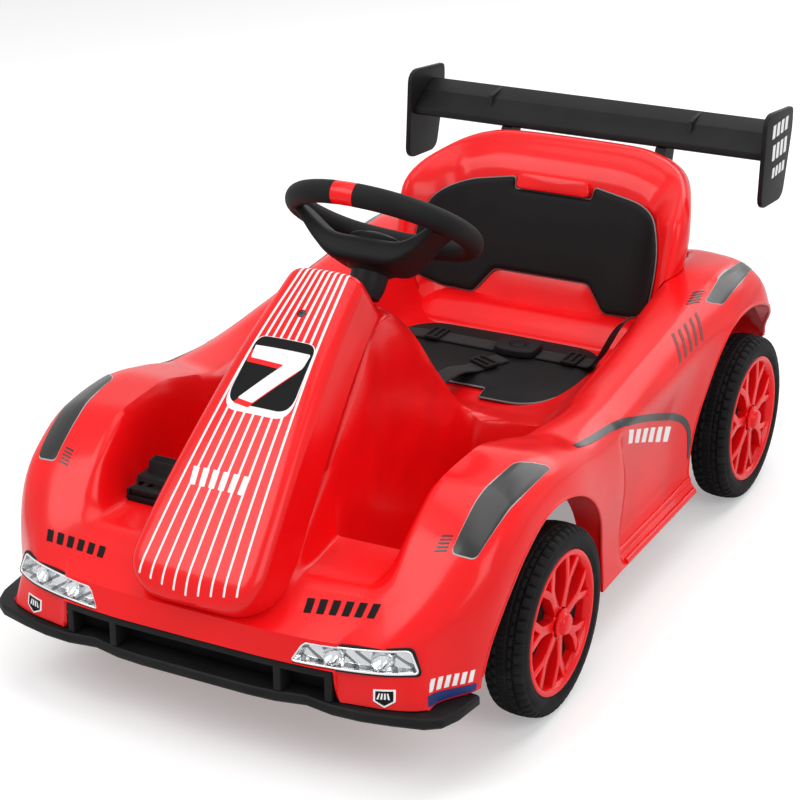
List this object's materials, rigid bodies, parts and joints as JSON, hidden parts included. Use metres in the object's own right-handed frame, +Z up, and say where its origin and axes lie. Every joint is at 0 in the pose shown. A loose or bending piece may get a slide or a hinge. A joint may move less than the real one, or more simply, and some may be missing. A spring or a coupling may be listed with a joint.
{
  "type": "electric ride-on go-kart",
  "caption": "Child's electric ride-on go-kart: low moulded body, bucket seat with lap harness, steered front wheels, geared rear drive and a rear wing.",
  "frame": {"origin": "on the ground below the middle of the kart's outer box", "axes": "+Z up, the nose faces -Y, the driver's left is +X"},
  "size_m": [0.589, 0.9998, 0.4974],
  "materials": {
    "red_gloss": "glossy moulded",
    "black_satin": "satin moulded",
    "pad_black": "matt padded",
    "rubber": "moulded tread",
    "steel": "bright zinc",
    "chrome": "reflector",
    "clear": "clear moulded",
    "webbing": "woven",
    "battery_grey": "moulded case"
  },
  "bodies": {
    "chassis": {"body_shell": "red_gloss", "nose_cover": "red_gloss", "nose_screw": "steel", "front_bumper": "black_satin", "front_splitter": "black_satin", "headlight_bowl_left": "chrome", "headlight_bowl_right": "chrome", "headlight_lens_left": "clear", "headlight_lens_right": "clear", "seat_back": "red_gloss", "back_pad": "pad_black", "seat_pad": "pad_black", "harness_belt_right": "webbing", "harness_belt_left": "webbing", "harness_crotch_strap": "webbing", "harness_buckle": "black_satin", "strap_adjuster_right": "black_satin", "strap_adjuster_left": "black_satin", "strap_adjuster_crotch": "black_satin", "wing_blade": "black_satin", "wing_end_plate_left": "black_satin", "wing_end_plate_right": "black_satin", "wing_post_left": "black_satin", "wing_post_right": "black_satin", "front_axle_beam": "black_satin", "column_bracket": "black_satin", "chassis_pan": "black_satin", "battery": "battery_grey", "control_box": "black_satin", "rear_axle": "steel", "gearbox_left": "black_satin", "gearbox_right": "black_satin", "motor_left": "steel", "motor_right": "steel", "pedal_base": "black_satin", "switch_panel": "black_satin"},
    "steering": {"steering_wheel_grip": "black_satin", "steering_wheel_band": "red_gloss", "steering_hub": "black_satin", "steering_shaft": "steel"},
    "horn": {"horn_button": "black_satin"},
    "knuckle_left": {"steering_knuckle_left": "steel"},
    "knuckle_right": {"steering_knuckle_right": "steel"},
    "tie_rod": {"tie_rod": "steel"},
    "wheel_front_left": {"tyre_front_left": "rubber", "rim_front_left": "red_gloss", "hub_cap_front_left": "red_gloss"},
    "wheel_front_right": {"tyre_front_right": "rubber", "rim_front_right": "red_gloss", "hub_cap_front_right": "red_gloss"},
    "wheel_rear_left": {"tyre_rear_left": "rubber", "rim_rear_left": "red_gloss", "hub_cap_rear_left": "red_gloss"},
    "wheel_rear_right": {"tyre_rear_right": "rubber", "rim_rear_right": "red_gloss", "hub_cap_rear_right": "red_gloss"},
    "pedal": {"accelerator_pedal": "black_satin"},
    "power_button": {"power_button": "red_gloss"},
    "direction_rocker": {"direction_rocker": "black_satin"},
    "buckle_button": {"buckle_button": "black_satin"}
  },
  "joints": [
    {"name": "steering_turn", "type": "hinge", "parent": "chassis", "child": "steering", "pos_m": [0, -0.09408, 0.43], "axis": [0, 0.5736, 0.8192], "range_deg": [-30, 30]},
    {"name": "horn_press", "type": "slide", "parent": "steering", "child": "horn", "axis": [0, -0.5736, -0.8192], "range_m": [0, 0.002], "stiffness_N_per_m": 300, "springref_m": -0.004},
    {"name": "knuckle_left_turn", "type": "hinge", "parent": "chassis", "child": "knuckle_left", "pos_m": [0.213, -0.25708, 0.1], "axis": [0, 0, 1], "range_deg": [-21, 21]},
    {"name": "knuckle_right_turn", "type": "hinge", "parent": "chassis", "child": "knuckle_right", "pos_m": [-0.213, -0.25708, 0.1], "axis": [0, 0, 1], "range_deg": [-21, 21]},
    {"name": "tie_rod_shift", "type": "slide", "parent": "chassis", "child": "tie_rod", "axis": [1, 0, 0], "range_m": [-0.01436, 0.01436]},
    {"name": "wheel_front_left_roll", "type": "hinge", "parent": "knuckle_left", "child": "wheel_front_left", "pos_m": [0.2655, -0.25708, 0.1], "axis": [1, 0, 0], "continuous": true},
    {"name": "wheel_front_right_roll", "type": "hinge", "parent": "knuckle_right", "child": "wheel_front_right", "pos_m": [-0.2655, -0.25708, 0.1], "axis": [1, 0, 0], "continuous": true},
    {"name": "wheel_rear_left_roll", "type": "hinge", "parent": "chassis", "child": "wheel_rear_left", "pos_m": [0.2585, 0.30112, 0.1], "axis": [1, 0, 0], "continuous": true},
    {"name": "wheel_rear_right_roll", "type": "hinge", "parent": "chassis", "child": "wheel_rear_right", "pos_m": [-0.2585, 0.30112, 0.1], "axis": [1, 0, 0], "continuous": true},
    {"name": "pedal_press", "type": "hinge", "parent": "chassis", "child": "pedal", "pos_m": [-0.128, -0.36308, 0.1985], "axis": [-1, 0, 0], "range_deg": [0, 10], "stiffness_Nm_per_rad": 2, "springref_deg": -8.59},
    {"name": "power_press", "type": "slide", "parent": "chassis", "child": "power_button", "axis": [0, -0.807, -0.5905], "range_m": [0, 0.002], "stiffness_N_per_m": 400, "springref_m": -0.003},
    {"name": "direction_tilt", "type": "hinge", "parent": "chassis", "child": "direction_rocker", "pos_m": [-0.0095, -0.06466, 0.28554], "axis": [1, 0, 0], "range_deg": [-6, 6]},
    {"name": "buckle_release", "type": "slide", "parent": "chassis", "child": "buckle_button", "axis": [0, 0, -1], "range_m": [0, 0.002], "stiffness_N_per_m": 400, "springref_m": -0.003}
  ],
  "couplings": [
    {"joint": "knuckle_left_turn", "follows": "steering_turn", "ratio": 0.7},
    {"joint": "knuckle_right_turn", "follows": "steering_turn", "ratio": 0.7},
    {"joint": "tie_rod_shift", "follows": "steering_turn", "m_per_rad": 0.0274}
  ]
}
